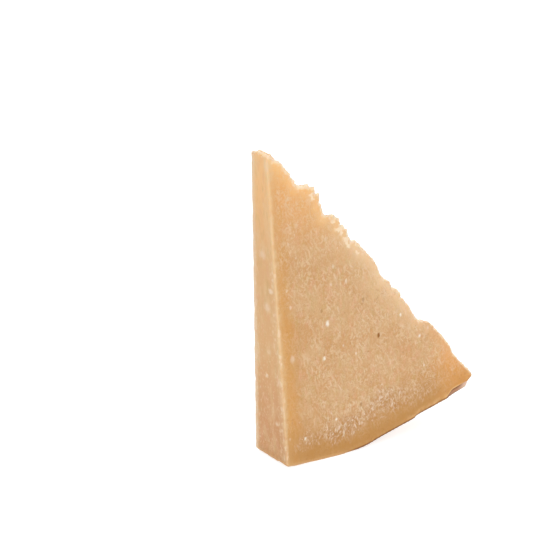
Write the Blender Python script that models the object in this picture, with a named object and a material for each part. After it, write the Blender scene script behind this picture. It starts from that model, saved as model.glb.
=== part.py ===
"""A loose wedge of hard, grainy cheese that stands on its rind.

The broad faces are two rays of a wheel, so they draw together from the rind up to the top.
The narrow upright face is a smooth cut, and the long slanting side is where the wedge broke off.
X runs from the cut face to the tip, Y from the front face to the back face, and Z up from the rind.
Lengths are in metres.
"""

import bmesh
import bpy
import numpy as np
from mathutils import Vector, noise

# Driving dimensions of the wedge
LENGTH = 0.1198
HEIGHT = 0.1638
THICKNESS = 0.0303
TAPER = 0.0084
LEAN = 0.0076
TIP_HEIGHT = 0.0258
TIP_THINNING = 0.005
APEX_WIDTH = 0.0022
APEX_DROP = 0.0003

# The rind: raised a little at the cut face, then flat, an arc, and a straight rise with a small step
TOE_LIFT = 0.0009
TOE_LENGTH = 0.0217
TOE_STEPS = 9
RIND_FLAT = 0.036
RIND_RADIUS = 0.067
RIND_SLOPE = 0.274
RIND_END = 0.1152
RIND_STEPS = 72
NOSE = (0.1160, 0.0226)
NOTCH_PLACE = 0.0812
NOTCH_HEIGHT = 0.0006
NOTCH_WIDTH = 0.0011
NOTCH_FADE = 0.024
WHEEL_RADIUS = 0.4
SAG = 0.0017
SAG_PLACE = 0.046
SAG_REACH = 0.02
SAG_DEPTH = 0.009
FOOT_DEPTH = 0.00012
FOOT_SNAP = 0.00005
RIND_REACH = 0.012

# Worn edges, and the chip that shows the rind under the tip
EDGE_WEAR = 0.0006
CHIP_START = 0.0995
CHIP_FULL = 0.1065
CHIP_HEIGHT = 0.0038
CHIP_DEPTH = 0.0014

# The break: how deep its crags reach into the wedge, and how far it falls towards the back
BREAK_REACH = 0.016
BREAK_FALL = 0.13
APEX_FALL = -0.01
BREAK_FADE = 0.011
APEX_REACH = 0.012
FALL_REACH = 0.040
END_REACH = 0.008

# How far each surface's own relief reaches round its edges
BREAK_EDGE = 0.003
FACE_EDGE = 0.0015

# Ledges along the break, measured down from the apex: foot, brink, end of the top, end, height
LEDGES = (
    (-0.0040, -0.0020, 0.0022, 0.0062, -0.0007),
    (0.0040, 0.0094, 0.0120, 0.0210, 0.0011),
    (0.0205, 0.0232, 0.0235, 0.0255, -0.0009),
    (0.0245, 0.0300, 0.0362, 0.0412, 0.0028),
    (0.0262, 0.0300, 0.0385, 0.0500, 0.0019),
    (0.0481, 0.0524, 0.0567, 0.0592, 0.0032),
    (0.0568, 0.0601, 0.0636, 0.0686, 0.0030),
    (0.0645, 0.0745, 0.0880, 0.0990, 0.0026),
    (0.1005, 0.1040, 0.1050, 0.1084, 0.0011),
    (0.1088, 0.1108, 0.1140, 0.1158, 0.0011),
    (0.1225, 0.1330, 0.1342, 0.1385, -0.0017),
    (0.1362, 0.1412, 0.1575, 0.1680, 0.0021),
    (0.1790, 0.1815, 0.1820, 0.1848, 0.0006),
)

# Relief of the surfaces: the size of its grains and how far they stand out
CRAG = (0.0110, 0.0022)
CRAG_CELLS = 0.6
LUMP = (0.0042, 0.0011)
LUMP_IN_FRONT = 0.25
LEDGE_DRIFT = 0.45
LEDGE_LOSS = 0.5
GRAIN = (0.0018, 0.0004)
BACK_WAVE = (0.0420, 0.0016)
BACK_START = 0.004
FACE_WAVE = (0.0150, 0.0003)
STREAK = (0.0030, 0.00016)
STREAK_STRETCH = 5.0
CUT_WAVE = (0.0240, 0.00012)
RIND_DENT = (0.0090, 0.00022)

# Fineness of the mesh
VOXEL = 0.001
FACETS = 9600
SMOOTH_PASSES = 2

CHEESE_COLOUR = (0.68, 0.42, 0.23, 1.0)
CHEESE_ROUGHNESS = 0.55

CREST = Vector((LENGTH + LEAN - APEX_WIDTH, 0.0, TIP_HEIGHT - HEIGHT))
ALONG = np.array(CREST.normalized())
OUTWARD = np.array((-ALONG[2], 0.0, ALONG[0]))
APEX = np.array((APEX_WIDTH - LEAN, 0.0, HEIGHT))


def ease(value):
    """Smooth step from 0 to 1 of an array."""
    value = np.clip(value, 0.0, 1.0)
    return value * value * (3.0 - 2.0 * value)


def rind_height(x):
    """Height of the rind above the floor at x, along the front face."""
    toe = TOE_LIFT * np.clip(1.0 - x / TOE_LENGTH, 0.0, None)**2
    angle = np.arctan(RIND_SLOPE)
    turn = RIND_RADIUS * np.sin(angle)
    run = np.clip(x - RIND_FLAT, 0.0, turn)
    arc = RIND_RADIUS - np.sqrt(RIND_RADIUS**2 - run**2)
    rise = RIND_SLOPE * np.clip(x - RIND_FLAT - turn, 0.0, None)
    step = ease((x - NOTCH_PLACE) / NOTCH_WIDTH + 0.5) - 0.5
    notch = NOTCH_HEIGHT * step * ease(1.0 - np.abs(x - NOTCH_PLACE) / NOTCH_FADE)
    return toe + arc + rise + notch


def front_y(z):
    """Where the front face lies at height z."""
    return TAPER * z / HEIGHT


def back_y(x, z):
    """Where the back face lies: it leans in like the front one, and the tip is thinner."""
    return THICKNESS - TAPER * z / HEIGHT - TIP_THINNING * x / LENGTH


def from_cut(points):
    """How far each point lies behind the cut face."""
    return points[:, 0] + LEAN * points[:, 2] / HEIGHT


def outline():
    """The wedge's side view as (x, z), from the foot of the cut face round to its top."""
    steps = (*np.linspace(0.0, TOE_LENGTH, TOE_STEPS), *np.linspace(RIND_FLAT, RIND_END, RIND_STEPS))
    rind = [(x, float(rind_height(x))) for x in steps]
    top = [(APEX_WIDTH - LEAN, HEIGHT), (-LEAN, HEIGHT - APEX_DROP)]
    return [*rind, NOSE, (LENGTH, TIP_HEIGHT), *top]


def plain_wedge():
    """The wedge with flat faces, as a mesh: two outlines joined by a band."""
    form = bmesh.new()
    front = [form.verts.new((x, front_y(z), z)) for x, z in outline()]
    back = [form.verts.new((x, back_y(x, z), z)) for x, z in outline()]
    form.faces.new(front)
    form.faces.new(reversed(back))
    for i, start in enumerate(front):
        j = (i + 1) % len(front)
        form.faces.new((start, back[i], back[j], front[j]))
    bmesh.ops.recalc_face_normals(form, faces=form.faces)
    mesh = bpy.data.meshes.new("plain_wedge")
    form.to_mesh(mesh)
    form.free()
    return mesh


def evaluated(thing):
    """A new mesh of the object with its modifiers applied."""
    graph = bpy.context.evaluated_depsgraph_get()
    return bpy.data.meshes.new_from_object(thing.evaluated_get(graph), depsgraph=graph)


def fine_wedge(voxel):
    """The plain wedge with worn edges, remeshed evenly so that its surface can be carved."""
    base = bpy.data.objects.new("base", plain_wedge())
    bpy.context.collection.objects.link(base)
    wear = base.modifiers.new("wear", "BEVEL")
    wear.width = EDGE_WEAR
    wear.segments = 2
    wear.limit_method = "ANGLE"
    remesh = base.modifiers.new("grain", "REMESH")
    remesh.mode = "VOXEL"
    remesh.voxel_size = voxel
    soften = base.modifiers.new("soften", "SMOOTH")
    soften.iterations = SMOOTH_PASSES
    bpy.context.view_layer.update()
    mesh = evaluated(base)
    bpy.data.objects.remove(base)
    return mesh


def places(mesh):
    """The mesh's points as rows of an array."""
    flat = np.empty(len(mesh.vertices) * 3)
    mesh.vertices.foreach_get("co", flat)
    return flat.reshape(-1, 3)


def directions(mesh):
    """The mesh's point normals as rows of an array."""
    flat = np.empty(len(mesh.vertices) * 3)
    mesh.vertices.foreach_get("normal", flat)
    return flat.reshape(-1, 3)


def put(mesh, points):
    """Writes the rows of an array back as the mesh's points."""
    mesh.vertices.foreach_set("co", points.reshape(-1))
    mesh.update()


def noise_at(points, size, shift=0.0):
    """Smooth noise from -1 to 1 at each point, with grains about as large as size."""
    moved = points / size + shift
    return np.array([noise.noise(Vector(p)) for p in moved])


def cells_at(points, size, shift=0.0):
    """Rounded lumps from -1 to 1 at each point, with creases between them."""
    moved = points / size + shift
    return np.array([1.0 - 2.0 * noise.voronoi(Vector(p))[0][0] for p in moved])


def ledge(s, foot, brink, top_end, end, height):
    """One ledge: up from its foot to its brink, level to the end of its top, then down."""
    rise = ease((s - foot) / (brink - foot))
    fall = ease((s - top_end) / (end - top_end))
    return height * (rise - fall)


def break_relief(points):
    """How far the break stands out of its plane at each point, from its ledges and crags."""
    s = (points - APEX) @ ALONG
    depth = np.clip(points[:, 1] - front_y(points[:, 2]), 0.0, None)
    inner = ease(depth / BREAK_FADE)
    on_plane = points - np.outer((points - APEX) @ OUTWARD, OUTWARD)
    crag_size, crag_height = CRAG
    lump_size, lump_height = LUMP
    drift = LEDGE_DRIFT * crag_size * noise_at(on_plane, crag_size, 7.0) * inner
    shown = sum(ledge(s + drift, *row) for row in LEDGES)
    crags = noise_at(on_plane, crag_size) + CRAG_CELLS * cells_at(on_plane, crag_size, 3.0)
    lumps = lump_height * cells_at(on_plane, lump_size, 5.0)
    lumps *= LUMP_IN_FRONT + (1.0 - LUMP_IN_FRONT) * inner
    ends = ease(s / END_REACH) * ease((CREST.length - s) / END_REACH)
    fall = depth * (APEX_FALL + (BREAK_FALL - APEX_FALL) * ease(s / FALL_REACH))
    return shown * (1.0 - LEDGE_LOSS * inner) + crag_height * crags * inner * ends + lumps - fall


def carve_break(points):
    """Pushes the points near the break in or out, less and less towards the wedge's middle.

    Beside the cut face the push is straight up or down, so that the cut face stays flat.
    """
    inside = -(points - APEX) @ OUTWARD
    share = 1.0 - ease(inside / BREAK_REACH)
    near = share > 0.0
    moved = points.copy()
    push = break_relief(points[near]) * share[near]
    slant = ease(from_cut(points[near]) / APEX_REACH)
    moved[near, 0] += push * slant * OUTWARD[0]
    moved[near, 2] += push * (slant * OUTWARD[2] + (1.0 - slant) / OUTWARD[2])
    return moved


def round_rind(points):
    """Bows the rind across the thickness as the wheel's side does, and chips it under the tip."""
    moved = points.copy()
    above = points[:, 2] - rind_height(points[:, 0])
    share = 1.0 - ease(above / RIND_REACH)
    across = points[:, 1] - THICKNESS / 2
    sag = SAG * (1.0 - ease(np.abs(points[:, 0] - SAG_PLACE) / SAG_REACH))
    sag *= ease((points[:, 1] - front_y(points[:, 2])) / SAG_DEPTH)
    moved[:, 2] += share * (across**2 / (2 * WHEEL_RADIUS) - FOOT_DEPTH - sag)
    chip = ease((points[:, 0] - CHIP_START) / (CHIP_FULL - CHIP_START))
    behind = points[:, 1] - front_y(points[:, 2])
    short = np.clip(chip - above / CHIP_HEIGHT - behind / CHIP_DEPTH, 0.0, None) / 2
    moved[:, 1] += short * CHIP_DEPTH
    moved[:, 2] += short * CHIP_HEIGHT
    return moved


def shares(points):
    """How much each point belongs to the break, the cut face, the rind and the broad faces."""
    inside = -(points - APEX) @ OUTWARD
    above = points[:, 2] - rind_height(points[:, 0])
    broken = 1.0 - ease(inside / BREAK_EDGE)
    cut = (1.0 - ease(from_cut(points) / FACE_EDGE)) * (1.0 - broken)
    rind = (1.0 - ease(above / FACE_EDGE)) * (1.0 - broken)
    return broken, cut, rind, np.clip(1.0 - broken - cut - rind, 0.0, 1.0)


def surface_relief(points, plain):
    """How far each surface's own grain stands out; plain holds the points before carving."""
    broken, cut, rind, broad = shares(plain)
    tall = points * np.array((1.0, 1.0, 1.0 / STREAK_STRETCH))
    back = ease((plain[:, 1] - THICKNESS / 2) / BACK_START)
    relief = broken * GRAIN[1] * cells_at(points, GRAIN[0])
    relief += broad * FACE_WAVE[1] * noise_at(points, FACE_WAVE[0])
    relief += broad * STREAK[1] * noise_at(tall, STREAK[0])
    relief += broad * back * BACK_WAVE[1] * noise_at(points, BACK_WAVE[0], 2.0)
    relief += cut * CUT_WAVE[1] * noise_at(points, CUT_WAVE[0])
    relief += rind * RIND_DENT[1] * noise_at(points, RIND_DENT[0])
    return relief


def carve(mesh):
    """Turns the plain remeshed wedge into the broken one, and moves it over the origin."""
    plain = places(mesh)
    put(mesh, round_rind(carve_break(plain)))
    points = places(mesh)
    points += directions(mesh) * surface_relief(points, plain)[:, None]
    points[:, 2] = np.clip(points[:, 2], 0.0, None)
    put(mesh, points - np.array(((LENGTH - LEAN) / 2, THICKNESS / 2, 0.0)))


def thin_out(thing, facets):
    """Merges the small faces until about this many are left."""
    count = sum(len(face.vertices) - 2 for face in thing.data.polygons)
    fewer = thing.modifiers.new("facets", "DECIMATE")
    fewer.ratio = min(1.0, facets / count)
    mesh = evaluated(thing)
    points = places(mesh)
    points[points[:, 2] < FOOT_SNAP, 2] = 0.0
    put(mesh, points)
    thing.modifiers.clear()
    thing.data = mesh


def cheese_material():
    """Pale straw paste, a little waxy."""
    material = bpy.data.materials.new("cheese")
    material.use_nodes = True
    shader = material.node_tree.nodes["Principled BSDF"]
    shader.inputs["Base Color"].default_value = CHEESE_COLOUR
    shader.inputs["Roughness"].default_value = CHEESE_ROUGHNESS
    shader.inputs["Metallic"].default_value = 0.0
    return material


def main():
    for thing in list(bpy.data.objects):
        bpy.data.objects.remove(thing)
    mesh = fine_wedge(VOXEL)
    carve(mesh)
    wedge = bpy.data.objects.new("parmesan_wedge", mesh)
    bpy.context.collection.objects.link(wedge)
    thin_out(wedge, FACETS)
    wedge.data.materials.clear()
    wedge.data.materials.append(cheese_material())


main()
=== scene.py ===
"""The looks of a loose wedge of hard, grainy cheese that stands on its rind.

One finely carved piece takes the place of the solid wedge. It has the same named sizes and the same
carving, with a closer mesh and finer grain. X runs from the cut face to the tip, Y from the front
face to the back face, and Z up from the rind. Lengths are in metres, and colours are the ones seen,
as red, green and blue from 0 to 255.
"""

import math

import bmesh
import bpy
import numpy as np
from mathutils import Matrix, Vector, noise


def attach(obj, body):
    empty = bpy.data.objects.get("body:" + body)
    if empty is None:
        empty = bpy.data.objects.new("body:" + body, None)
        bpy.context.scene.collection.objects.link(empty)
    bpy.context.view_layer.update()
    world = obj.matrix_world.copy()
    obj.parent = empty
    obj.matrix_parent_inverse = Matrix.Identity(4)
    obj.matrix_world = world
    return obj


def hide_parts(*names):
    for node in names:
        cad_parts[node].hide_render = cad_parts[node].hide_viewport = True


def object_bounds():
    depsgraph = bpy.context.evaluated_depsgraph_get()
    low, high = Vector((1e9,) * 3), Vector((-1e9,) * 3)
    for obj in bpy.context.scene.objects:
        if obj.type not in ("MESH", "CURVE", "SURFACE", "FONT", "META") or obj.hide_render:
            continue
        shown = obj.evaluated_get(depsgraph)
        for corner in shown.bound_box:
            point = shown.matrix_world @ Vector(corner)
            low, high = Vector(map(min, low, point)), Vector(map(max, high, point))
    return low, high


# Driving dimensions of the wedge
LENGTH = 0.1198
HEIGHT = 0.1638
THICKNESS = 0.0303
TAPER = 0.0084
LEAN = 0.0076
TIP_HEIGHT = 0.0258
TIP_THINNING = 0.005
APEX_WIDTH = 0.0022
APEX_DROP = 0.0003

# The rind: raised a little at the cut face, then flat, an arc, and a straight rise with a small step
TOE_LIFT = 0.0009
TOE_LENGTH = 0.0217
TOE_STEPS = 9
RIND_FLAT = 0.036
RIND_RADIUS = 0.067
RIND_SLOPE = 0.274
RIND_END = 0.1152
RIND_STEPS = 72
NOSE = (0.1160, 0.0226)
NOTCH_PLACE = 0.0812
NOTCH_HEIGHT = 0.0006
NOTCH_WIDTH = 0.0011
NOTCH_FADE = 0.024
WHEEL_RADIUS = 0.4
SAG = 0.0017
SAG_PLACE = 0.046
SAG_REACH = 0.02
SAG_DEPTH = 0.009
FOOT_DEPTH = 0.00012
RIND_REACH = 0.012

# Worn edges, and the chip that shows the rind under the tip
EDGE_WEAR = 0.0006
CHIP_START = 0.0995
CHIP_FULL = 0.1065
CHIP_HEIGHT = 0.0038
CHIP_DEPTH = 0.0014

# The break: how deep its crags reach into the wedge, and how far it falls towards the back
BREAK_REACH = 0.016
BREAK_FALL = 0.13
APEX_FALL = -0.01
BREAK_FADE = 0.011
APEX_REACH = 0.012
FALL_REACH = 0.040
END_REACH = 0.008

# How far each surface's own relief reaches round its edges
BREAK_EDGE = 0.003
FACE_EDGE = 0.0015

# Ledges along the break, measured down from the apex: foot, brink, end of the top, end, height
LEDGES = (
    (-0.0040, -0.0020, 0.0022, 0.0062, -0.0007),
    (0.0040, 0.0094, 0.0120, 0.0210, 0.0011),
    (0.0205, 0.0232, 0.0235, 0.0255, -0.0009),
    (0.0245, 0.0300, 0.0362, 0.0412, 0.0028),
    (0.0262, 0.0300, 0.0385, 0.0500, 0.0019),
    (0.0481, 0.0524, 0.0567, 0.0592, 0.0032),
    (0.0568, 0.0601, 0.0636, 0.0686, 0.0030),
    (0.0645, 0.0745, 0.0880, 0.0990, 0.0026),
    (0.1005, 0.1040, 0.1050, 0.1084, 0.0011),
    (0.1088, 0.1108, 0.1140, 0.1158, 0.0011),
    (0.1225, 0.1330, 0.1342, 0.1385, -0.0017),
    (0.1362, 0.1412, 0.1575, 0.1680, 0.0021),
    (0.1790, 0.1815, 0.1820, 0.1848, 0.0006),
)

# Relief of the surfaces: the size of its grains and how far they stand out
CRAG = (0.0110, 0.0022)
CRAG_CELLS = 0.6
LUMP = (0.0042, 0.0011)
LUMP_IN_FRONT = 0.25
LEDGE_DRIFT = 0.45
LEDGE_LOSS = 0.5
GRAIN = (0.0018, 0.0004)
BACK_WAVE = (0.0420, 0.0016)
BACK_START = 0.004
FACE_WAVE = (0.0150, 0.0003)
STREAK = (0.0030, 0.00016)
STREAK_STRETCH = 5.0
CUT_WAVE = (0.0240, 0.00012)
RIND_DENT = (0.0090, 0.00022)

# Relief that only this finer mesh can hold
CRUMB = (0.0013, 0.00022)
FACE_GRAIN = (0.0013, 0.00006)
CREST_CRUMB = (0.0026, 0.0012)
CREST_SMOOTH = 0.15
CRUMBLY = ((0.0245, 0.0500), (0.0500, 0.0820))
CRUMBLY_EDGE = 0.005
EDGE_CHIP = (0.0024, 0.0004)
EDGE_CHIP_REACH = 0.0022
CHIP_STRETCH = 2.0
HEM_CHIP = (0.0026, 0.0008)
HEM_REACH = 0.0022
HEM_LEVEL = 0.25

# Marks on the front face as x, height, width and strength: white crystals and dark pits
CRYSTALS = (
    (0.0239, 0.0542, 0.0019, 0.85),
    (0.0262, 0.0722, 0.0024, 0.85),
    (0.0306, 0.0201, 0.0015, 0.80),
    (0.0719, 0.0683, 0.0016, 0.85),
    (0.0841, 0.0546, 0.0014, 0.75),
    (0.0046, 0.0575, 0.0032, 0.30),
    (0.0437, 0.0530, 0.0013, 0.60),
    (0.0112, 0.0141, 0.0013, 0.70),
    (0.0869, 0.0379, 0.0013, 0.50),
)
PITS = (
    (0.0578, 0.0598, 0.0011, 0.95),
    (0.0484, 0.0807, 0.0010, 0.45),
    (0.0228, 0.0794, 0.0008, 0.40),
    (0.0461, 0.0251, 0.0009, 0.50),
)

# Soft pale blotches on the cut face, as y, height, half width, half height and strength
BLOTCHES = (
    (0.0155, 0.1108, 0.0044, 0.0030, 0.55),
    (0.0130, 0.0834, 0.0038, 0.0036, 0.70),
    (0.0092, 0.0933, 0.0028, 0.0019, 1.00),
    (0.0067, 0.0995, 0.0016, 0.0013, 0.75),
    (0.0159, 0.0461, 0.0018, 0.0013, 0.90),
    (0.0084, 0.0221, 0.0024, 0.0018, 0.75),
    (0.0080, 0.1576, 0.0040, 0.0050, 0.70),
    (0.0130, 0.0600, 0.0030, 0.0022, 0.35),
)

# Where torn crumbs gather above the rind, as x, height, half length, half height and strength
CRUMB_PATCHES = (
    (0.0345, 0.0150, 0.0215, 0.0085, 0.95),
    (0.0130, 0.0125, 0.0120, 0.0065, 0.50),
    (0.0600, 0.0235, 0.0220, 0.0095, 0.80),
    (0.0820, 0.0230, 0.0190, 0.0085, 0.45),
)

# How those patches tilt up towards the tip, in radians
CRUMB_PATCH_TILT = 0.2

# Torn strokes as spacing, length, width, lean, spread of lean and strength
BLOOM_STROKES = (
    (0.0026, 0.0062, 0.00140, -0.42, 0.7, 0.78),
    (0.0018, 0.0025, 0.00120, -0.05, 1.2, 0.66),
)
BLOOM_SPECKS = (
    (0.0015, 0.0015, 0.00100, 0.0, 3.1, 0.60),
)
CRUMB_STROKES = (
    (0.0021, 0.0036, 0.00165, -0.25, 1.2, 1.00),
    (0.0015, 0.0020, 0.00120, 0.30, 1.8, 0.85),
)

# Curled tears as size, thickness as a share of the noise, lean and strength
BLOOM_CURLS = (
    (0.0034, 0.075, -0.45, 0.60),
    (0.0021, 0.090, 0.20, 0.48),
)
CRUMB_CURLS = (
    (0.0017, 0.080, -0.20, 0.50),
)

# Chance crystals: the spacing of their cells, and the smallest and largest half width
CRYSTAL_SPACING = 0.0085
CRYSTAL_REACH = (0.0004, 0.0011)

# How wide a crystal and a pit are for their height
CRYSTAL_SQUASH = 0.7
PIT_SQUASH = 0.6

# Noise for the coats of paint: the size of its grains, how many finer sizes it adds, and its squeeze in z
NOISES = {
    "cloud": (0.0130, 3.0, 1.0),
    "tint": (0.0024, 3.0, 0.55),
    "glow_edge": (0.0035, 3.0, 1.0),
    "crown_edge": (0.0060, 2.0, 1.0),
    "drift": (0.0070, 2.0, 1.0),
    "drip": (0.0012, 2.0, 0.16),
    "grain": (0.0006, 2.0, 1.0),
    "tuft": (0.0035, 2.0, 1.0),
    "pore": (0.0013, 2.0, 1.0),
    "cut_blotch": (0.0055, 3.0, 0.45),
    "cut_tint": (0.0022, 3.0, 0.3),
    "cut_speck": (0.0010, 2.0, 0.6),
    "speckle": (0.0018, 3.0, 1.0),
    "grit": (0.0009, 2.0, 1.0),
    "wear": (0.0045, 3.0, 0.22),
    "patch": (0.0032, 2.0, 1.0),
    "edge_chip": (0.0028, 3.0, 0.22),
    "fleck": (0.0021, 2.0, 0.6),
    "crag": (0.0016, 3.0, 1.0),
    "blob": (0.0026, 1.0, 1.0),
    "skin": (0.0080, 4.0, 1.0),
    "hem": (0.0030, 2.0, 1.0),
    "hem_patch": (0.0030, 3.0, 1.0),
}

# Lengths that wander: the stored length, the noise that moves it, and how many millimetres it adds
WANDERING = {
    "edge": ("from_cut", "cloud", 6.0),
    "low": ("above_rind", "cloud", 10.0),
    "inner_glow": ("from_break", "glow_edge", 3.0),
    "outer_glow": ("from_break", "drift", 6.0),
    "crown": ("below_apex", "crown_edge", 8.0),
    "bloom_from_break": ("from_break", "drift", 9.0),
    "bloom_from_cut": ("from_cut", "drift", 9.0),
    "bloom_above_rind": ("above_rind", "drift", 9.0),
    "crumbs_above_rind": ("above_rind", "tuft", 5.0),
    "cut_foot": ("above_rind", "speckle", 9.0),
    "rim": ("from_break", "crag", 4.0),
    "level": ("above_rind", "hem", 0.6),
}

# The flecks beside the upright edges: how fast they end behind the cut face, and across it
BESIDE_CUT = 2.2
BESIDE_SIDE = 0.6

# How places are bent by noise: the size of its grains and how far they move
BLOOM_BEND = (0.0060, 0.0026)
BLOOM_WOBBLE = (0.0011, 0.0007)
CRUMB_BEND = (0.0011, 0.0006)
PATCH_BEND = (0.0050, 0.0110)
CRYSTAL_BEND = (0.0010, 0.0009)
BLOTCH_BEND = (0.0018, 0.0026)

# Where a mark starts and is full, as shares of its own size
PATCH_EDGE = (1.0, 0.3)
BLOTCH_EDGE = (1.1, 0.2)
CRYSTAL_EDGE = (0.65, 0.15)
CHANCE_CRYSTAL_CORE = 0.2
PIT_EDGE = (1.0, 0.4)
STROKE_CORE = 0.3

# How short a stroke may be, which strokes show, and how curled tears are squeezed and broken off
STROKE_SHORTEST = 0.4
STROKE_SHOWN = (0.15, 0.9)
CURL_SQUEEZE = 0.55
CURL_BREAK_SIZE = 0.8
CURL_BREAK = (0.44, 0.60)

# How the cheese takes the light
ROUGHNESS = (0.50, 0.75)
SPECULAR = 0.3
SCATTER_SHARE = 0.3
SCATTER_REACH = (1.0, 0.55, 0.28)
SCATTER_DEPTH = 0.0012
BLOOM_ROUGH = 0.8
BLOOM_RISE = 0.8
BLOOM_HEIGHT = 0.00022
BLOOM_BUMP = 0.8

# What the mesh holds for each point, for the material to read: lengths in millimetres, then shares
STORED = (
    "from_break", "from_cut", "from_front", "from_back", "above_rind", "from_tip", "below_apex",
    "chip", "crumbly",
)

# Fineness of the mesh
VOXEL = 0.00062
SMOOTH_PASSES = 2

# The camera, in the wedge's own frame
CAMERA_AZIMUTH = math.radians(-33.068)
CAMERA_ELEVATION = math.radians(17.895)
CAMERA_DISTANCE = 0.972166
CAMERA_AIM = Vector((-0.012823, 0.0, 0.110232))
LENS_MM = 135.084
SENSOR_MM = 36.0

# The studio
FLOOR_SIZE = 6.0
SKY_STRENGTH = 0.68
FLOOR_SHADE = 0.40
FLOOR_GLOW = 0.75
BRIGHTNESS = 1.28
SUN_ANGLE = math.radians(50.0)
SUNS = (
    ("soft_key", 1.87, Vector((-0.55, -0.70, 0.75))),
    ("soft_rim", 1.30, Vector((0.60, 0.55, 0.60))),
)

# From the dimensions: the crest's line and direction, the way out of the break, the apex, the middle
CREST = Vector((LENGTH + LEAN - APEX_WIDTH, 0.0, TIP_HEIGHT - HEIGHT))
ALONG = np.array(CREST.normalized())
OUTWARD = np.array((-ALONG[2], 0.0, ALONG[0]))
APEX = np.array((APEX_WIDTH - LEAN, 0.0, HEIGHT))
MIDDLE = Vector(((LENGTH - LEAN) / 2, THICKNESS / 2, 0.0))


# The form


def ease(value):
    """Smooth step from 0 to 1 of an array."""
    value = np.clip(value, 0.0, 1.0)
    return value * value * (3.0 - 2.0 * value)


def rind_height(x):
    """Height of the rind above the floor at x, along the front face."""
    toe = TOE_LIFT * np.clip(1.0 - x / TOE_LENGTH, 0.0, None)**2
    angle = np.arctan(RIND_SLOPE)
    turn = RIND_RADIUS * np.sin(angle)
    run = np.clip(x - RIND_FLAT, 0.0, turn)
    arc = RIND_RADIUS - np.sqrt(RIND_RADIUS**2 - run**2)
    rise = RIND_SLOPE * np.clip(x - RIND_FLAT - turn, 0.0, None)
    step = ease((x - NOTCH_PLACE) / NOTCH_WIDTH + 0.5) - 0.5
    notch = NOTCH_HEIGHT * step * ease(1.0 - np.abs(x - NOTCH_PLACE) / NOTCH_FADE)
    return toe + arc + rise + notch


def front_y(z):
    """Where the front face lies at height z."""
    return TAPER * z / HEIGHT


def back_y(x, z):
    """Where the back face lies: it leans in like the front one, and the tip is thinner."""
    return THICKNESS - TAPER * z / HEIGHT - TIP_THINNING * x / LENGTH


def from_cut(points):
    """How far each point lies behind the cut face."""
    return points[:, 0] + LEAN * points[:, 2] / HEIGHT


def outline():
    """The wedge's side view as (x, z), from the foot of the cut face round to its top."""
    steps = (*np.linspace(0.0, TOE_LENGTH, TOE_STEPS), *np.linspace(RIND_FLAT, RIND_END, RIND_STEPS))
    rind = [(x, float(rind_height(x))) for x in steps]
    top = [(APEX_WIDTH - LEAN, HEIGHT), (-LEAN, HEIGHT - APEX_DROP)]
    return [*rind, NOSE, (LENGTH, TIP_HEIGHT), *top]


def plain_wedge():
    """The wedge with flat faces, as a mesh: two outlines joined by a band."""
    form = bmesh.new()
    front = [form.verts.new((x, front_y(z), z)) for x, z in outline()]
    back = [form.verts.new((x, back_y(x, z), z)) for x, z in outline()]
    form.faces.new(front)
    form.faces.new(reversed(back))
    for i, start in enumerate(front):
        j = (i + 1) % len(front)
        form.faces.new((start, back[i], back[j], front[j]))
    bmesh.ops.recalc_face_normals(form, faces=form.faces)
    mesh = bpy.data.meshes.new("plain_wedge")
    form.to_mesh(mesh)
    form.free()
    return mesh


def fine_wedge(voxel):
    """The plain wedge with worn edges, remeshed evenly so that its surface can be carved."""
    base = bpy.data.objects.new("base", plain_wedge())
    bpy.context.collection.objects.link(base)
    wear = base.modifiers.new("wear", "BEVEL")
    wear.width = EDGE_WEAR
    wear.segments = 2
    wear.limit_method = "ANGLE"
    remesh = base.modifiers.new("grain", "REMESH")
    remesh.mode = "VOXEL"
    remesh.voxel_size = voxel
    soften = base.modifiers.new("soften", "SMOOTH")
    soften.iterations = SMOOTH_PASSES
    bpy.context.view_layer.update()
    graph = bpy.context.evaluated_depsgraph_get()
    mesh = bpy.data.meshes.new_from_object(base.evaluated_get(graph), depsgraph=graph)
    bpy.data.objects.remove(base)
    return mesh


def places(mesh):
    """The mesh's points as rows of an array."""
    flat = np.empty(len(mesh.vertices) * 3)
    mesh.vertices.foreach_get("co", flat)
    return flat.reshape(-1, 3)


def directions(mesh):
    """The mesh's point normals as rows of an array."""
    flat = np.empty(len(mesh.vertices) * 3)
    mesh.vertices.foreach_get("normal", flat)
    return flat.reshape(-1, 3)


def put(mesh, points):
    """Writes the rows of an array back as the mesh's points."""
    mesh.vertices.foreach_set("co", points.reshape(-1))
    mesh.update()


def noise_at(points, size, shift=0.0):
    """Smooth noise from -1 to 1 at each point, with grains about as large as size."""
    moved = points / size + shift
    return np.array([noise.noise(Vector(p)) for p in moved])


def cells_at(points, size, shift=0.0):
    """Rounded lumps from -1 to 1 at each point, with creases between them."""
    moved = points / size + shift
    return np.array([1.0 - 2.0 * noise.voronoi(Vector(p))[0][0] for p in moved])


def ledge(s, foot, brink, top_end, end, height):
    """One ledge: up from its foot to its brink, level to the end of its top, then down."""
    rise = ease((s - foot) / (brink - foot))
    fall = ease((s - top_end) / (end - top_end))
    return height * (rise - fall)


def crumbly_share(points):
    """How crumbly the break is at each point: most on its two steep ledges."""
    s = (points - APEX) @ ALONG
    share = np.zeros(len(points))
    for start, end in CRUMBLY:
        share += ease((s - start) / CRUMBLY_EDGE) * ease((end - s) / CRUMBLY_EDGE)
    return share


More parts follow.
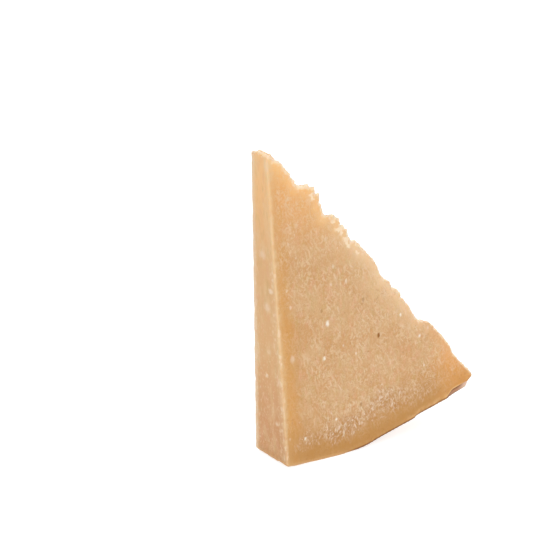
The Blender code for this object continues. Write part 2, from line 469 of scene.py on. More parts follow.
def break_relief(points):
    """How far the break stands out of its plane at each point, from its ledges and crags."""
    s = (points - APEX) @ ALONG
    depth = np.clip(points[:, 1] - front_y(points[:, 2]), 0.0, None)
    inner = ease(depth / BREAK_FADE)
    on_plane = points - np.outer((points - APEX) @ OUTWARD, OUTWARD)
    crag_size, crag_height = CRAG
    lump_size, lump_height = LUMP
    drift = LEDGE_DRIFT * crag_size * noise_at(on_plane, crag_size, 7.0) * inner
    shown = sum(ledge(s + drift, *row) for row in LEDGES)
    crags = noise_at(on_plane, crag_size) + CRAG_CELLS * cells_at(on_plane, crag_size, 3.0)
    lumps = lump_height * cells_at(on_plane, lump_size, 5.0)
    lumps *= LUMP_IN_FRONT + (1.0 - LUMP_IN_FRONT) * inner
    crumbs = CREST_CRUMB[1] * cells_at(on_plane, CREST_CRUMB[0], 17.0)
    crumbs *= CREST_SMOOTH + (1.0 - CREST_SMOOTH) * crumbly_share(points)
    ends = ease(s / END_REACH) * ease((CREST.length - s) / END_REACH)
    fall = depth * (APEX_FALL + (BREAK_FALL - APEX_FALL) * ease(s / FALL_REACH))
    shown = shown * (1.0 - LEDGE_LOSS * inner) + crumbs * ends
    return shown + crag_height * crags * inner * ends + lumps - fall


def carve_break(points, relief):
    """Pushes the points near the break in or out, less and less towards the wedge's middle.

    Beside the cut face the push is straight up or down, so that the cut face stays flat.
    """
    inside = -(points - APEX) @ OUTWARD
    push = relief * (1.0 - ease(inside / BREAK_REACH))
    slant = ease(from_cut(points) / APEX_REACH)
    moved = points.copy()
    moved[:, 0] += push * slant * OUTWARD[0]
    moved[:, 2] += push * (slant * OUTWARD[2] + (1.0 - slant) / OUTWARD[2])
    return moved


def chip_share(points):
    """How far each point lies inside the chip under the tip; below 0 it is outside."""
    above = points[:, 2] - rind_height(points[:, 0])
    behind = points[:, 1] - front_y(points[:, 2])
    chip = ease((points[:, 0] - CHIP_START) / (CHIP_FULL - CHIP_START))
    return chip - above / CHIP_HEIGHT - behind / CHIP_DEPTH


def round_rind(points):
    """Bows the rind across the thickness as the wheel's side does, and chips it under the tip."""
    moved = points.copy()
    above = points[:, 2] - rind_height(points[:, 0])
    share = 1.0 - ease(above / RIND_REACH)
    across = points[:, 1] - THICKNESS / 2
    sag = SAG * (1.0 - ease(np.abs(points[:, 0] - SAG_PLACE) / SAG_REACH))
    sag *= ease((points[:, 1] - front_y(points[:, 2])) / SAG_DEPTH)
    moved[:, 2] += share * (across**2 / (2 * WHEEL_RADIUS) - FOOT_DEPTH - sag)
    short = np.clip(chip_share(points), 0.0, None) / 2
    moved[:, 1] += short * CHIP_DEPTH
    moved[:, 2] += short * CHIP_HEIGHT
    return moved


def shares(points):
    """How much each point belongs to the break, the cut face, the rind and the broad faces."""
    inside = -(points - APEX) @ OUTWARD
    above = points[:, 2] - rind_height(points[:, 0])
    broken = 1.0 - ease(inside / BREAK_EDGE)
    cut = (1.0 - ease(from_cut(points) / FACE_EDGE)) * (1.0 - broken)
    rind = (1.0 - ease(above / FACE_EDGE)) * (1.0 - broken)
    return broken, cut, rind, np.clip(1.0 - broken - cut - rind, 0.0, 1.0)


def surface_relief(points, plain):
    """How far each surface's own grain stands out; plain holds the points before carving."""
    broken, cut, rind, broad = shares(plain)
    tall = points * np.array((1.0, 1.0, 1.0 / STREAK_STRETCH))
    back = ease((plain[:, 1] - THICKNESS / 2) / BACK_START)
    relief = broken * GRAIN[1] * cells_at(points, GRAIN[0])
    relief += broken * CRUMB[1] * cells_at(points, CRUMB[0], 11.0)
    relief += broad * FACE_WAVE[1] * noise_at(points, FACE_WAVE[0])
    relief += broad * STREAK[1] * noise_at(tall, STREAK[0])
    relief += broad * FACE_GRAIN[1] * noise_at(points, FACE_GRAIN[0], 13.0)
    relief += broad * back * BACK_WAVE[1] * noise_at(points, BACK_WAVE[0], 2.0)
    relief += cut * CUT_WAVE[1] * noise_at(points, CUT_WAVE[0])
    relief += rind * RIND_DENT[1] * noise_at(points, RIND_DENT[0])
    side = np.minimum(plain[:, 1] - front_y(plain[:, 2]), back_y(plain[:, 0], plain[:, 2]) - plain[:, 1])
    corner = 1.0 - ease(np.maximum(from_cut(plain), side) / EDGE_CHIP_REACH)
    tall = points * np.array((1.0, 1.0, 1.0 / CHIP_STRETCH))
    relief -= corner * EDGE_CHIP[1] * np.clip(noise_at(tall, EDGE_CHIP[0], 19.0), 0.0, None)
    return relief


def ragged_hem(plain):
    """How far the foot of the cut face is crumbled away upwards at each point."""
    above = plain[:, 2] - rind_height(plain[:, 0])
    share = (1.0 - ease(from_cut(plain) / HEM_REACH)) * (1.0 - ease(above / HEM_REACH))
    return share * HEM_CHIP[1] * np.clip(noise_at(plain, HEM_CHIP[0], 31.0) + HEM_LEVEL, 0.0, None)


def keep(mesh, name, values):
    """Stores one number for each point, for the material to read."""
    layer = mesh.attributes.new(name, "FLOAT", "POINT")
    layer.data.foreach_set("value", np.asarray(values, dtype=np.float32))


def carve(mesh, low, high):
    """Turns the plain remeshed wedge into the broken one, kept between the corners low and high."""
    plain = places(mesh)
    relief = break_relief(plain)
    put(mesh, round_rind(carve_break(plain, relief)))
    points = places(mesh)
    points += directions(mesh) * surface_relief(points, plain)[:, None]
    points[:, 2] += ragged_hem(plain)
    put(mesh, np.clip(points - np.array(MIDDLE), low, high))
    inside = np.clip(-(plain - APEX) @ OUTWARD, 0.0, None)
    from_break = inside + np.clip(relief, None, 0.0) * ease(inside / BREAK_REACH)
    above = np.clip(plain[:, 2] - rind_height(plain[:, 0]), 0.0, None)
    behind = plain[:, 1] - front_y(plain[:, 2])
    before = back_y(plain[:, 0], plain[:, 2]) - plain[:, 1]
    from_tip = LENGTH - plain[:, 0]
    below_apex = HEIGHT - plain[:, 2]
    lengths = (from_break, from_cut(plain), behind, before, above, from_tip, below_apex)
    values = [1000 * length for length in lengths] + [chip_share(plain), crumbly_share(plain)]
    for name, numbers in zip(STORED, values):
        keep(mesh, name, numbers)


# The materials


def seen(red, green, blue):
    """The colour that the studio's light shows as these bytes."""
    def linear(byte):
        share = byte / 255
        return share / 12.92 if share <= 0.04045 else ((share + 0.055) / 1.055)**2.4
    return (linear(red) / BRIGHTNESS, linear(green) / BRIGHTNESS, linear(blue) / BRIGHTNESS, 1.0)


class Paint:
    """Builds one material's nodes. Most methods add nodes and return what comes out of them."""

    def __init__(self, name):
        self.material = bpy.data.materials.new(name)
        self.material.use_nodes = True
        self.tree = self.material.node_tree
        self.shader = self.tree.nodes["Principled BSDF"]
        self.place = self.add("ShaderNodeTexCoord").outputs["Object"]
        self.at = self.measured()

    def add(self, kind, **settings):
        """A new node of a kind."""
        node = self.tree.nodes.new(kind)
        for name, value in settings.items():
            setattr(node, name, value)
        return node

    def feed(self, socket, value):
        """Sets a socket to a number or colour, or links it to another node's output."""
        if isinstance(value, bpy.types.NodeSocket):
            self.tree.links.new(value, socket)
        else:
            socket.default_value = value

    def math(self, operation, *values):
        """The result of one sum on numbers."""
        node = self.add("ShaderNodeMath", operation=operation)
        for socket, value in zip(node.inputs, values):
            self.feed(socket, value)
        return node.outputs[0]

    def all_of(self, operation, values):
        """The result of one sum carried on over all the values."""
        result, *others = values
        for value in others:
            result = self.math(operation, result, value)
        return result

    def times(self, *values):
        """The product of all the values."""
        return self.all_of("MULTIPLY", values)

    def plus(self, *values):
        """The sum of all the values."""
        return self.all_of("ADD", values)

    def most(self, *values):
        """The largest of the values."""
        return self.all_of("MAXIMUM", values)

    def least(self, *values):
        """The smallest of the values."""
        return self.all_of("MINIMUM", values)

    def vectors(self, operation, *values):
        """The result of one sum on vectors."""
        node = self.add("ShaderNodeVectorMath", operation=operation)
        for socket, value in zip(node.inputs, values):
            self.feed(socket, value)
        return node.outputs["Value" if operation == "LENGTH" else "Vector"]

    def far_from(self, where, middle, squash):
        """How far a place lies from a middle, with heights squashed so that spots come out tall."""
        gap = self.vectors("SUBTRACT", where, middle)
        return self.vectors("LENGTH", self.vectors("MULTIPLY", gap, (1.0, squash, 1.0)))

    def number(self, name):
        """A number that the mesh holds for each point."""
        return self.add("ShaderNodeAttribute", attribute_name=name).outputs["Fac"]

    def parts(self, vector):
        """The three numbers of a vector or colour."""
        node = self.add("ShaderNodeSeparateXYZ")
        self.feed(node.inputs[0], vector)
        return node.outputs

    def side_place(self):
        """The place on the broad faces, as x and z."""
        x, _, z = self.parts(self.place)
        node = self.add("ShaderNodeCombineXYZ")
        self.feed(node.inputs[0], x)
        self.feed(node.inputs[1], z)
        return node.outputs[0]

    def bent(self, where, size, amount):
        """A place moved about by noise."""
        node = self.add("ShaderNodeTexNoise")
        self.feed(node.inputs["Vector"], where)
        node.inputs["Scale"].default_value = 1.0 / size
        node.inputs["Detail"].default_value = 1.0
        shift = self.vectors("SUBTRACT", node.outputs["Color"], (0.5, 0.5, 0.5))
        return self.vectors("ADD", where, self.vectors("MULTIPLY", shift, (amount, amount, amount)))

    def noise(self, where, size, detail):
        """Noise from 0 to 1 with grains about as large as size."""
        node = self.add("ShaderNodeTexNoise")
        self.feed(node.inputs["Vector"], where)
        node.inputs["Scale"].default_value = 1.0 / size
        node.inputs["Detail"].default_value = detail
        return node.outputs["Fac"]

    def cells(self, where, size):
        """Scattered points on the broad faces, and the cells round them."""
        node = self.add("ShaderNodeTexVoronoi", voronoi_dimensions="2D")
        self.feed(node.inputs["Vector"], where)
        node.inputs["Scale"].default_value = 1.0 / size
        return node.outputs

    def band(self, value, start, end, low=0.0, high=1.0):
        """Goes smoothly from low at start to high at end."""
        node = self.add("ShaderNodeMapRange", interpolation_type="SMOOTHSTEP")
        self.feed(node.inputs["Value"], value)
        self.feed(node.inputs["From Min"], start)
        self.feed(node.inputs["From Max"], end)
        self.feed(node.inputs["To Min"], low)
        self.feed(node.inputs["To Max"], high)
        return node.outputs["Result"]

    def strokes(self, where, spacing, length, width, lean, spread):
        """Marks that lean one way, one in each long cell, each turned and bright in its own way."""
        tilted = self.turned(where, lean)
        squeeze = spacing / length
        cell = self.cells(self.vectors("MULTIPLY", tilted, (1.0, squeeze, 1.0)), spacing)
        turn, strength, reach = self.parts(cell["Color"])
        middle = self.vectors("MULTIPLY", cell["Position"], (1.0, 1.0 / squeeze, 1.0))
        turn = self.times(self.math("SUBTRACT", turn, 0.5), spread)
        across, along, _ = self.parts(self.turned(self.vectors("SUBTRACT", tilted, middle), turn))
        thin = self.band(self.math("ABSOLUTE", across), width / 2, 0.0)
        end = self.times(self.plus(reach, STROKE_SHORTEST), length / 2)
        short = self.band(self.math("ABSOLUTE", along), end, self.times(end, STROKE_CORE))
        return self.times(thin, short, self.band(strength, *STROKE_SHOWN))

    def curls(self, where, size, width, lean):
        """Thin curled lines that wander mostly one way and break off here and there."""
        tall = self.vectors("MULTIPLY", self.turned(where, lean), (1.0, CURL_SQUEEZE, 1.0))
        level = self.math("ABSOLUTE", self.math("SUBTRACT", self.noise(tall, size, 1.0), 0.5))
        gaps = self.noise(self.place, size * CURL_BREAK_SIZE, 2.0)
        return self.times(self.band(level, width, 0.0), self.band(gaps, *CURL_BREAK))

    def strongest(self, draw, where, rows):
        """The strongest at each place of several kinds of marks."""
        return self.most(*(self.times(draw(where, *shape), strength) for *shape, strength in rows))

    def turned(self, vector, angle):
        """A vector turned about the depth of the broad faces."""
        node = self.add("ShaderNodeVectorRotate", rotation_type="Z_AXIS")
        self.feed(node.inputs["Vector"], vector)
        self.feed(node.inputs["Angle"], angle)
        return node.outputs["Vector"]

    def measured(self):
        """The measures that coats fade by: what the mesh holds, noise, lengths that wander, and edges."""
        at = {name: self.number(name) for name in STORED}
        for name, (size, detail, squeeze) in NOISES.items():
            at[name] = self.noise(self.vectors("MULTIPLY", self.place, (1.0, 1.0, squeeze)), size, detail)
        for name, (length, drift, amount) in WANDERING.items():
            at[name] = self.plus(at[length], self.times(at[drift], amount))
        at["side"] = self.least(at["from_front"], at["from_back"])
        at["corner"] = self.most(at["from_cut"], at["side"])
        at["outside"] = self.least(at["side"], at["from_cut"])
        across = self.times(at["side"], BESIDE_SIDE)
        at["beside"] = self.most(self.times(at["from_cut"], BESIDE_CUT), across)
        return at

    def share(self, cover, *fades):
        """How much a coat covers: its greatest cover, times a band of each measure that it fades by."""
        return self.times(cover, *(self.band(self.at[name], *ends) for name, *ends in fades))

    def mix(self, share, first, second):
        """A colour between first and second."""
        node = self.add("ShaderNodeMix", data_type="RGBA")
        self.feed(node.inputs["Factor"], share)
        self.feed(node.inputs[6], first)
        self.feed(node.inputs[7], second)
        return node.outputs[2]

    def coats(self, body, rows):
        """A body under coats of paint, each given as its colour, greatest cover and fades."""
        for colour, *reach in rows:
            body = self.mix(self.share(*reach), body, colour)
        return body

    def bump(self, height, distance, strength):
        """The surface's direction where a height from 0 to 1 stands out by a distance."""
        node = self.add("ShaderNodeBump")
        self.feed(node.inputs["Height"], height)
        node.inputs["Distance"].default_value = distance
        node.inputs["Strength"].default_value = strength
        return node.outputs["Normal"]


# The colours, as they look in the studio
PASTE = seen(206, 157, 102)
PASTE_PALE = seen(211, 168, 118)
PASTE_ROSY = seen(220, 163, 122)
PASTE_DULL = seen(202, 165, 104)
# Lighter at the top: partly the paste's own colour, partly painted light falling on the top
PASTE_TOP = seen(231, 167, 99)
PASTE_EDGE = seen(212, 152, 75)
PASTE_LOW = seen(191, 138, 71)
PASTE_TIP = seen(232, 162, 84)
PASTE_GAPS = seen(180, 126, 66)
PORES = seen(168, 112, 54)
CRUMBS = seen(234, 205, 172)
CRUMBS_LOW = seen(247, 226, 202)
CRYSTAL = seen(248, 238, 222)
PIT = seen(150, 92, 24)
CUT_TOP = seen(240, 188, 126)
CUT_PASTE = seen(219, 171, 117)
CUT_LOW = seen(205, 149, 97)
CUT_PALE = seen(228, 196, 151)
CREAM = seen(255, 238, 210)
# Painted glow: colours for the thin paste lit through from behind beside the break and at the apex
GLOW = seen(250, 215, 171)
GLOW_TOP = seen(254, 204, 138)
GLOW_END = seen(235, 183, 131)
BROKEN = seen(248, 211, 166)
BROKEN_DEEP = seen(230, 182, 132)
RIND_SKIN = seen(176, 120, 62)
RIND_GOLD = seen(206, 150, 86)
RIND_DARK = seen(142, 86, 42)
RIND_LINE = seen(126, 72, 16)
# The chip: painted shade in the groove under its lip, the rind's brown, painted light on the rounded tip,
# and a painted highlight for lips
CHIP_SHADE = seen(120, 72, 34)
CHIP_BROWN = seen(178, 124, 82)
CHIP_TIP_LIGHT = seen(226, 190, 164)
LIP_HIGHLIGHT = seen(236, 190, 132)

# Coats of paint, from the lowest up, each as a colour, its greatest cover and its fades
# A fade names its measure, where it starts and where it is full, and its shares there if not 0 and 1
PASTE_COATS = (
    (PASTE_PALE, 1.0, ("cloud", 0.38, 0.62)),
    (PASTE_ROSY, 0.55, ("tint", 0.52, 0.72)),
    (PASTE_DULL, 0.6, ("tint", 0.48, 0.28)),
    # The lighter top is partly the paste's colour and partly painted light falling on it from above
    (PASTE_TOP, 1.0, ("below_apex", 62.0, 10.0)),
    (PASTE_EDGE, 1.0, ("edge", 15.0, 6.0), ("below_apex", 20.0, 80.0, 0.3, 0.9)),
    (PASTE_TIP, 1.0, ("from_tip", 34.0, 8.0)),
    (PASTE_LOW, 1.0, ("low", 34.0, 8.0), ("from_cut", 3.0, 18.0, 0.75, 1.0),
     ("from_tip", 12.0, 40.0, 0.6, 1.0)),
)

# The painted glow beside the break, colour standing in for thin paste lit through from behind: its
# colours from the apex down and towards the tip, and how far it reaches
GLOW_COATS = (
    (GLOW, 1.0, ("below_apex", 30.0, 60.0)),
    (GLOW_END, 1.0, ("from_tip", 50.0, 25.0)),
)
GLOW_REACH = (
    (0.27, ("outer_glow", 21.0, 5.0), ("from_tip", 18.0, 55.0)),
    (0.50, ("inner_glow", 8.5, 3.0), ("from_tip", 5.0, 25.0, 0.35, 1.0)),
)
# A painted glow on the crown below the apex
CROWN_COATS = (
    (GLOW_TOP, 0.5, ("crown", 22.0, 5.0)),
)

# Where the bloom of torn crumbs lies, how far it keeps from the cut face, and its streaks and grains
BLOOM_DRIFT = (1.0, ("drift", 0.36, 0.62, 0.45, 1.0))
BLOOM_CLEAR = (
    1.0,
    ("bloom_from_break", 4.0, 14.0, 0.5, 1.0),
    ("bloom_above_rind", 8.0, 27.0, 0.1, 1.0),
    ("from_tip", 1.0, 12.0, 0.4, 1.0),
)
BLOOM_INSET = (1.0, ("below_apex", 50.0, 105.0, 0.5, 1.0))
BLOOM_INSET_BAND = (9.0, 28.0)
BLOOM_INSET_SHARE = (0.3, 1.0)
DRIPS = (0.24, ("drip", 0.50, 0.68), ("above_rind", 50.0, 15.0), ("from_tip", 50.0, 90.0))
GRAINS = (0.24, ("grain", 0.5, 0.75))
BLOOM_COVER = 0.9

# Where crumbs stand up above the rind, how much they and the gaps between them cover, and the pores
CRUMBS_CLEAR = (1.0, ("from_front", 6.0, 3.0), ("crumbs_above_rind", 5.0, 9.5))
CRUMBS_COVER = 0.88
GAPS_COVER = 0.65
PORE_COATS = (
    (PORES, 0.3, ("pore", 0.40, 0.28), ("below_apex", 50.0, 90.0)),
)

# Which cells hold a chance crystal and how much it covers, and where pits show
CHANCE_CRYSTALS = (0.6, 0.95)
CHANCE_CRYSTAL_COVER = 0.38
PITS_CLEAR = (1.0, ("from_front", 8.0, 4.0))

# The cut face below its blotches, then above them, and where it ends
CUT_COATS = (
    # The warm, light top is partly the face's colour and partly a painted glow
    (CUT_TOP, 1.0, ("below_apex", 70.0, 6.0)),
    (CUT_LOW, 1.0, ("below_apex", 95.0, 150.0)),
    (CUT_PALE, 0.4, ("cut_blotch", 0.45, 0.72)),
    (PASTE_ROSY, 0.4, ("cut_tint", 0.52, 0.72)),
    (PASTE_DULL, 0.4, ("cut_tint", 0.48, 0.28)),
)
CUT_GRIT_COATS = (
    (CRUMBS, 1.0, ("cut_speck", 0.55, 0.70), ("below_apex", 60.0, 120.0, 0.15, 0.45)),
    (RIND_SKIN, 0.5, ("cut_foot", 10.5, 4.5)),
    (RIND_SKIN, 0.5, ("grit", 0.48, 0.66), ("cut_foot", 24.0, 7.0)),
)
CUT_REACH = (1.0, ("from_cut", 1.5, 0.4))

# The upright edges: a pale haze, how far the wear reaches and how patchy it is, then chips and flecks
HAZE_COATS = (
    (CUT_PALE, 0.16, ("corner", 7.0, 1.0)),
)
WEAR_REACH = (1.0, ("wear", 0.3, 0.7, 2.0, 5.0))
WEAR_CORE = 0.4
WEAR_PATCHES = (1.0, ("patch", 0.36, 0.62, 0.22, 0.60))
EDGE_COATS = (
    (CREAM, 0.20, ("corner", 1.1, 0.4), ("edge_chip", 0.42, 0.62, 0.1, 1.0)),
    (CREAM, 0.27, ("fleck", 0.52, 0.66), ("beside", 4.4, 1.6), ("below_apex", 30.0, 70.0)),
    (CRUMBS, 0.65, ("from_back", 4.5, 1.0), ("from_cut", 2.0, 1.0)),
)

# The break, and its cream rim, partly pale crumbs and partly a painted highlight of light from behind:
# thin all along, wider near the apex, thick with blobs where it is crumbly
BREAK_COATS = (
    (BROKEN_DEEP, 1.0, ("crag", 0.35, 0.70)),
)
BREAK_SHOWN = (1.0, ("from_break", 1.5, 0.3))
THIN_RIM = (0.5, ("rim", 3.8, 2.2))
HIGH_RIM = (0.55, ("rim", 4.6, 2.8), ("below_apex", 42.0, 26.0))
THICK_RIM = (0.6, ("rim", 3.8, 2.6))
RIM_BLOBS = (0.6, ("blob", 0.50, 0.64), ("from_break", 5.0, 3.0))
RIM_CLEAR = (1.0, ("outside", 4.0, 1.0))

# The rind, and the hem above it with its dark line, a painted highlight along its lip towards the tip,
# and a painted lit foot near the cut face where light bounced up from the floor falls
GOLD_COATS = (
    (RIND_SKIN, 1.0, ("skin", 0.35, 0.65)),
    (RIND_DARK, 0.6, ("speckle", 0.55, 0.75)),
    (RIND_LINE, 1.0, ("side", 2.4, 1.0), ("from_cut", 34.0, 46.0, 0.1, 1.0)),
    # Near the cut face the rind's edge takes paler paste colour: painted light bounced up from the floor
    (PASTE_EDGE, 0.8, ("side", 3.0, 1.5), ("from_cut", 44.0, 30.0)),
)
GOLD_REACH = (1.0, ("above_rind", 0.3, 0.1))
HEM_COATS = (
    (LIP_HIGHLIGHT, 1.0, ("level", 1.4, 2.0), ("level", 5.0, 2.4), ("hem_patch", 0.35, 0.65, 0.1, 0.6),
     ("from_cut", 70.0, 84.0, 0.2, 0.9)),
    (RIND_LINE, 1.0, ("level", 1.8, 1.3), ("from_cut", 36.0, 46.0, 0.2, 1.0),
     ("from_tip", 20.0, 40.0, 0.6, 0.85)),
    # The painted lit lip at the foot near the cut face
    (LIP_HIGHLIGHT, 0.5, ("level", 2.6, 0.9), ("from_cut", 44.0, 30.0)),
)

# The chip under the tip: its lip with a painted highlight, the colours inside it (painted shade in the
# groove under the lip, the rind's brown, painted light on the rounded tip), and where it shows
LIP_COATS = (
    (LIP_HIGHLIGHT, 0.7, ("chip", -0.34, -0.12), ("from_tip", 6.0, 12.0), ("from_tip", 22.0, 17.0),
     ("above_rind", 1.0, 2.0)),
)
CHIP_COATS = (
    (CHIP_BROWN, 1.0, ("chip", 0.0, 0.5)),
    (CHIP_TIP_LIGHT, 1.0, ("from_tip", 11.0, 4.5)),
)
CHIP_REACH = (1.0, ("chip", -0.10, 0.02))


def paint_glow(paint, body):
    """Painted glow of the thin paste beside the break, as if lit through from behind, warmer at the apex
    and towards the tip.
    """
    glow = paint.coats(GLOW_TOP, GLOW_COATS)
    body = paint.coats(body, ((glow, *reach) for reach in GLOW_REACH))
    return paint.coats(body, CROWN_COATS)


def bloom_of(paint):
    """How thick the bloom of torn crumbs lies: curls, leaning strokes, faint streaks and specks."""
    flat = paint.side_place()
    curved = paint.bent(paint.bent(flat, *BLOOM_BEND), *BLOOM_WOBBLE)
    marks = paint.most(
        paint.strongest(paint.curls, flat, BLOOM_CURLS),
        paint.strongest(paint.strokes, curved, BLOOM_STROKES),
        paint.strongest(paint.strokes, flat, BLOOM_SPECKS))
    marks = paint.times(marks, paint.share(*BLOOM_DRIFT))
    inset = paint.share(*BLOOM_INSET)
    start, end = (paint.times(inset, length) for length in BLOOM_INSET_BAND)
    clear = paint.band(paint.at["bloom_from_cut"], start, end, *BLOOM_INSET_SHARE)
    clear = paint.times(clear, paint.share(*BLOOM_CLEAR))
    return paint.times(clear, paint.plus(marks, paint.share(*DRIPS), paint.share(*GRAINS)))


def low_crumbs_of(paint):
    """How much the paste above the rind is torn, and the whiter crumbs that stand up there."""
    flat = paint.side_place()
    ragged = paint.bent(flat, *PATCH_BEND)
    patch = 0.0
    for x, z, half_length, half_height, strength in CRUMB_PATCHES:
        near = paint.vectors("SUBTRACT", ragged, (x - MIDDLE.x, z, 0.0))
        near = paint.turned(near, -CRUMB_PATCH_TILT)
        near = paint.vectors("MULTIPLY", near, (1.0 / half_length, 1.0 / half_height, 0.0))
        patch = paint.most(patch, paint.band(paint.vectors("LENGTH", near), *PATCH_EDGE, 0.0, strength))
    torn = paint.most(
        paint.strongest(paint.strokes, paint.bent(flat, *CRUMB_BEND), CRUMB_STROKES),
        paint.strongest(paint.curls, flat, CRUMB_CURLS))
    patch = paint.times(patch, paint.share(*CRUMBS_CLEAR))
    return patch, paint.times(patch, torn)


def spots_of(paint, where, rows, squash, edge):
    """The strongest of several spots at each place, given as x, height, width and strength."""
    spots = 0.0
    for x, z, width, strength in rows:
        gap = paint.far_from(where, (x - MIDDLE.x, z, 0.0), squash)
        start, end = (width * share for share in edge)
        spots = paint.most(spots, paint.band(gap, start, end, 0.0, strength))
    return spots


def paint_crystals(paint, body):
    """A few white crystals of different sizes, and some dark pits."""
    flat = paint.side_place()
    cell = paint.cells(flat, CRYSTAL_SPACING)
    size, chance, _ = paint.parts(cell["Color"])
    reach = paint.band(size, 0.0, 1.0, *CRYSTAL_REACH)
    ragged = paint.bent(flat, *CRYSTAL_BEND)
    gap = paint.far_from(ragged, cell["Position"], CRYSTAL_SQUASH)
    dots = paint.band(gap, reach, paint.times(reach, CHANCE_CRYSTAL_CORE))
    dots = paint.times(dots, paint.band(chance, *CHANCE_CRYSTALS), CHANCE_CRYSTAL_COVER)
    dots = paint.most(dots, spots_of(paint, ragged, CRYSTALS, CRYSTAL_SQUASH, CRYSTAL_EDGE))
    body = paint.mix(dots, body, CRYSTAL)
    pits = spots_of(paint, ragged, PITS, PIT_SQUASH, PIT_EDGE)
    return paint.mix(paint.times(pits, paint.share(*PITS_CLEAR)), body, PIT)


def paint_cut_face(paint, body):
    """The cut face: smoother, warm and light at the top, partly its own colour and partly a painted glow,
    rosy at the foot, with soft pale blotches.
    """
    cut = paint.coats(CUT_PASTE, CUT_COATS)
    ragged = paint.bent(paint.place, *BLOTCH_BEND)
    spots = 0.0
    for y, z, half_width, half_height, strength in BLOTCHES:
        near = paint.vectors("SUBTRACT", ragged, (0.0, y - MIDDLE.y, z))
        near = paint.vectors("MULTIPLY", near, (0.0, 1.0 / half_width, 1.0 / half_height))
        spots = paint.most(spots, paint.band(paint.vectors("LENGTH", near), *BLOTCH_EDGE, 0.0, strength))
    cut = paint.coats(paint.mix(spots, cut, CRUMBS), CUT_GRIT_COATS)
    return paint.mix(paint.share(*CUT_REACH), body, cut)


def paint_corners(paint, body):
    """Worn, paler paste along the cut face's edges, wider in some places than in others."""
    body = paint.coats(body, HAZE_COATS)
    worn = paint.band(paint.at["corner"], paint.share(*WEAR_REACH), WEAR_CORE)
    body = paint.mix(paint.times(worn, paint.share(*WEAR_PATCHES)), body, CUT_PALE)
    return paint.coats(body, EDGE_COATS)


def paint_break(paint, body):
    """The break: pale and grainy, with crumbs and a painted highlight at its rim."""
    body = paint.mix(paint.share(*BREAK_SHOWN), body, paint.coats(BROKEN, BREAK_COATS))
    thick = paint.most(paint.share(*THICK_RIM), paint.share(*RIM_BLOBS))
    thick = paint.times(thick, paint.at["crumbly"])
    rim = paint.most(paint.share(*THIN_RIM), paint.share(*HIGH_RIM), thick)
    return paint.mix(paint.times(rim, paint.share(*RIM_CLEAR)), body, CREAM)


def paint_rind(paint, body):
    """The rind: gold and brown, with a thin dark line where it meets the paste, a painted lit lip and
    foot, and the chip with painted shade and painted light.
    """
    gold = paint.coats(RIND_GOLD, GOLD_COATS)
    body = paint.mix(paint.share(*GOLD_REACH), paint.coats(body, HEM_COATS), gold)
    chipped = paint.coats(CHIP_SHADE, CHIP_COATS)
    return paint.mix(paint.share(*CHIP_REACH), paint.coats(body, LIP_COATS), chipped)


def cheese_material():
    """Straw paste under a bloom of pale crumbs, with crystals, cream broken edges that are partly a
    painted highlight, a painted glow beside the break, and a rind with painted light and shade at its hem
    and chip.
    """
    paint = Paint("cheese")
    bloom = bloom_of(paint)
    patch, crumbs = low_crumbs_of(paint)
    body = paint_glow(paint, paint.coats(PASTE, PASTE_COATS))
    body = paint.mix(paint.times(patch, GAPS_COVER), body, PASTE_GAPS)
    body = paint.mix(paint.least(bloom, BLOOM_COVER), body, CRUMBS)
    body = paint.coats(body, PORE_COATS)
    body = paint.mix(paint.times(crumbs, CRUMBS_COVER), body, CRUMBS_LOW)
    for coat in (paint_crystals, paint_cut_face, paint_corners, paint_break, paint_rind):
        body = coat(paint, body)
    shader = paint.shader.inputs
    paint.feed(shader["Base Color"], body)
    paint.feed(shader["Roughness"], paint.band(bloom, 0.0, BLOOM_ROUGH, *ROUGHNESS))
    shader["Specular IOR Level"].default_value = SPECULAR
    shader["Subsurface Weight"].default_value = SCATTER_SHARE
    shader["Subsurface Radius"].default_value = SCATTER_REACH
    shader["Subsurface Scale"].default_value = SCATTER_DEPTH
    height = paint.plus(paint.times(bloom, BLOOM_RISE), crumbs)
    paint.feed(shader["Normal"], paint.bump(height, BLOOM_HEIGHT, BLOOM_BUMP))
    return paint.material


# The scene


def add_wedge(material, box):
    """The carved wedge, in the solid wedge's place."""
    mesh = fine_wedge(VOXEL)
    carve(mesh, *box)
    mesh.materials.clear()
    mesh.materials.append(material)
    mesh.shade_smooth()
    wedge = bpy.data.objects.new("cheese_wedge", mesh)
    bpy.context.collection.objects.link(wedge)
    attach(wedge, "root")
    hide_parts("parmesan_wedge")


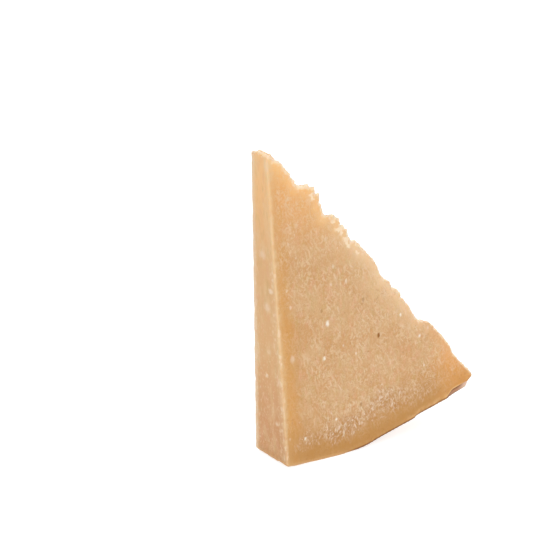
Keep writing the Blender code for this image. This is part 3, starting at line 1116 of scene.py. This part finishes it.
def add_floor():
    """A plain white floor, softly lit from below."""
    floor_mesh = bpy.data.meshes.new("floor")
    half = FLOOR_SIZE / 2
    corners = [(-half, -half, 0.0), (half, -half, 0.0), (half, half, 0.0), (-half, half, 0.0)]
    floor_mesh.from_pydata(corners, [], [(0, 1, 2, 3)])
    floor = bpy.data.objects.new("floor", floor_mesh)
    bpy.context.collection.objects.link(floor)
    material = bpy.data.materials.new("floor")
    material.use_nodes = True
    shader = material.node_tree.nodes["Principled BSDF"]
    shader.inputs["Base Color"].default_value = (FLOOR_SHADE, FLOOR_SHADE, FLOOR_SHADE, 1.0)
    shader.inputs["Emission Color"].default_value = (1.0, 1.0, 1.0, 1.0)
    shader.inputs["Emission Strength"].default_value = FLOOR_GLOW
    shader.inputs["Roughness"].default_value = 1.0
    shader.inputs["Specular IOR Level"].default_value = 0.0
    floor_mesh.materials.append(material)


def add_light():
    """A white sky, a broad soft lamp from the front left and one from the back right."""
    world = bpy.data.worlds.new("studio")
    world.use_nodes = True
    sky = world.node_tree.nodes["Background"]
    sky.inputs["Color"].default_value = (1.0, 1.0, 1.0, 1.0)
    sky.inputs["Strength"].default_value = SKY_STRENGTH
    bpy.context.scene.world = world
    for name, strength, source in SUNS:
        lamp = bpy.data.lights.new(name, "SUN")
        lamp.energy = strength
        lamp.angle = SUN_ANGLE
        sun = bpy.data.objects.new(name, lamp)
        sun.rotation_mode = "QUATERNION"
        sun.rotation_quaternion = source.to_track_quat("Z", "Y")
        bpy.context.collection.objects.link(sun)


def add_camera():
    """The photograph's view."""
    azimuth, elevation = CAMERA_AZIMUTH, CAMERA_ELEVATION
    back = Vector((math.sin(azimuth) * math.cos(elevation),
                   -math.cos(azimuth) * math.cos(elevation), math.sin(elevation)))
    lens = bpy.data.cameras.new("camera")
    lens.lens = LENS_MM
    lens.sensor_width = SENSOR_MM
    camera = bpy.data.objects.new("camera", lens)
    camera.location = CAMERA_AIM - MIDDLE + back * CAMERA_DISTANCE
    camera.rotation_mode = "QUATERNION"
    camera.rotation_quaternion = back.to_track_quat("Z", "Y")
    bpy.context.collection.objects.link(camera)
    bpy.context.scene.camera = camera


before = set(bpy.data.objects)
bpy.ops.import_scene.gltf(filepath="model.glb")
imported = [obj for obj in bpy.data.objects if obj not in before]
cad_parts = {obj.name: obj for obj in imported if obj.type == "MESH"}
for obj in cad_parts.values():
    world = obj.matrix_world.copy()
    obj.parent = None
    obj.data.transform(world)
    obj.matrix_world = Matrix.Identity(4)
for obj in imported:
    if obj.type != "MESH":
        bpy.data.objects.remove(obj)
cad_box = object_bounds()
add_wedge(cheese_material(), cad_box)
add_floor()
add_light()
add_camera()
bpy.context.scene.view_settings.view_transform = "Standard"
